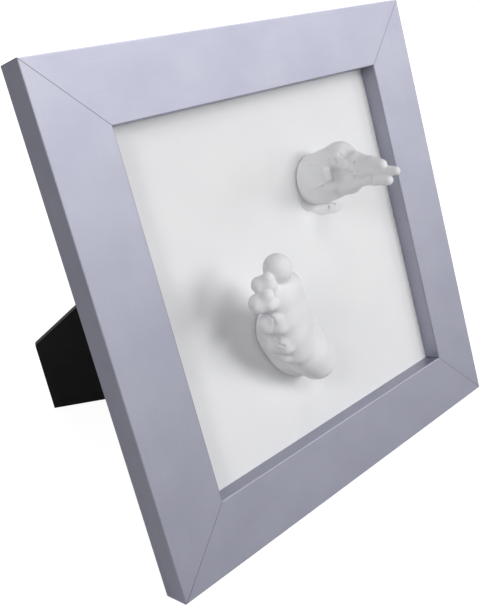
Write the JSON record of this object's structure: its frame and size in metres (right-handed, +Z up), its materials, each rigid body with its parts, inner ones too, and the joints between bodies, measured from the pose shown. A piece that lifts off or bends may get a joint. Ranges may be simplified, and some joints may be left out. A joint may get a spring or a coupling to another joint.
{
  "type": "picture frame",
  "caption": "Square deep picture frame on a folding easel strut, with a plaster baby hand and foot cast standing out of its white board.",
  "frame": {"origin": "centre of the overall box on the table, z = 0 under the frame's lower back edge and the strut's foot edge", "axes": "+X to the right as seen from the front, +Y backwards to the strut, +Z up; the front leans back and faces -Y"},
  "size_m": [0.25, 0.184, 0.2384],
  "materials": {
    "foil_wrap": "satin silver-lilac foil over fibreboard",
    "white_board": "matt white board",
    "black_board": "black coated hardboard",
    "casting_plaster": "matt white casting plaster",
    "glue": "white smeared glue",
    "hinge_steel": "zinc-plated pressed steel",
    "bright_steel": "plain bright steel"
  },
  "bodies": {
    "frame": {"rail_top": "foil_wrap", "rail_bottom": "foil_wrap", "rail_left": "foil_wrap", "rail_right": "foil_wrap", "mount_board": "white_board", "backing_board": "black_board", "hand_cast": "casting_plaster", "foot_cast": "casting_plaster", "hand_glue": "glue", "foot_glue": "glue", "hinge_base": "hinge_steel", "hinge_pin": "bright_steel", "hinge_base_rivets": "bright_steel", "corner_v_nails": "bright_steel", "turn_button_screws": "bright_steel"},
    "strut": {"strut_panel": "black_board", "hinge_leaf": "hinge_steel", "strut_rivets": "bright_steel"},
    "button_bottom": {"turn_button_bottom": "hinge_steel"},
    "button_right_lower": {"turn_button_right_lower": "hinge_steel"},
    "button_right_upper": {"turn_button_right_upper": "hinge_steel"},
    "button_top": {"turn_button_top": "hinge_steel"},
    "button_left_upper": {"turn_button_left_upper": "hinge_steel"},
    "button_left_lower": {"turn_button_left_lower": "hinge_steel"}
  },
  "joints": [
    {"name": "strut_fold", "type": "hinge", "parent": "frame", "child": "strut", "pos_m": [0.04821, -0.00506, 0.1776], "axis": [-0.7071, 0.2578, 0.6584], "range_deg": [0, 39.4]},
    {"name": "button_bottom_turn", "type": "hinge", "parent": "frame", "child": "button_bottom", "pos_m": [0, -0.06908, 0.02095], "axis": [0, -0.9312, 0.3646], "range_deg": [-90, 90]},
    {"name": "button_right_lower_turn", "type": "hinge", "parent": "frame", "child": "button_right_lower", "pos_m": [0.1025, -0.05359, 0.06053], "axis": [0, -0.9312, 0.3646], "range_deg": [-90, 90]},
    {"name": "button_right_upper_turn", "type": "hinge", "parent": "frame", "child": "button_right_upper", "pos_m": [0.1025, -0.00983, 0.17227], "axis": [0, -0.9312, 0.3646], "range_deg": [-90, 90]},
    {"name": "button_top_turn", "type": "hinge", "parent": "frame", "child": "button_top", "pos_m": [0, 0.00566, 0.21184], "axis": [0, -0.9312, 0.3646], "range_deg": [-90, 90]},
    {"name": "button_left_upper_turn", "type": "hinge", "parent": "frame", "child": "button_left_upper", "pos_m": [-0.1025, -0.00983, 0.17227], "axis": [0, -0.9312, 0.3646], "range_deg": [-90, 90]},
    {"name": "button_left_lower_turn", "type": "hinge", "parent": "frame", "child": "button_left_lower", "pos_m": [-0.1025, -0.05359, 0.06053], "axis": [0, -0.9312, 0.3646], "range_deg": [-90, 90]}
  ]
}
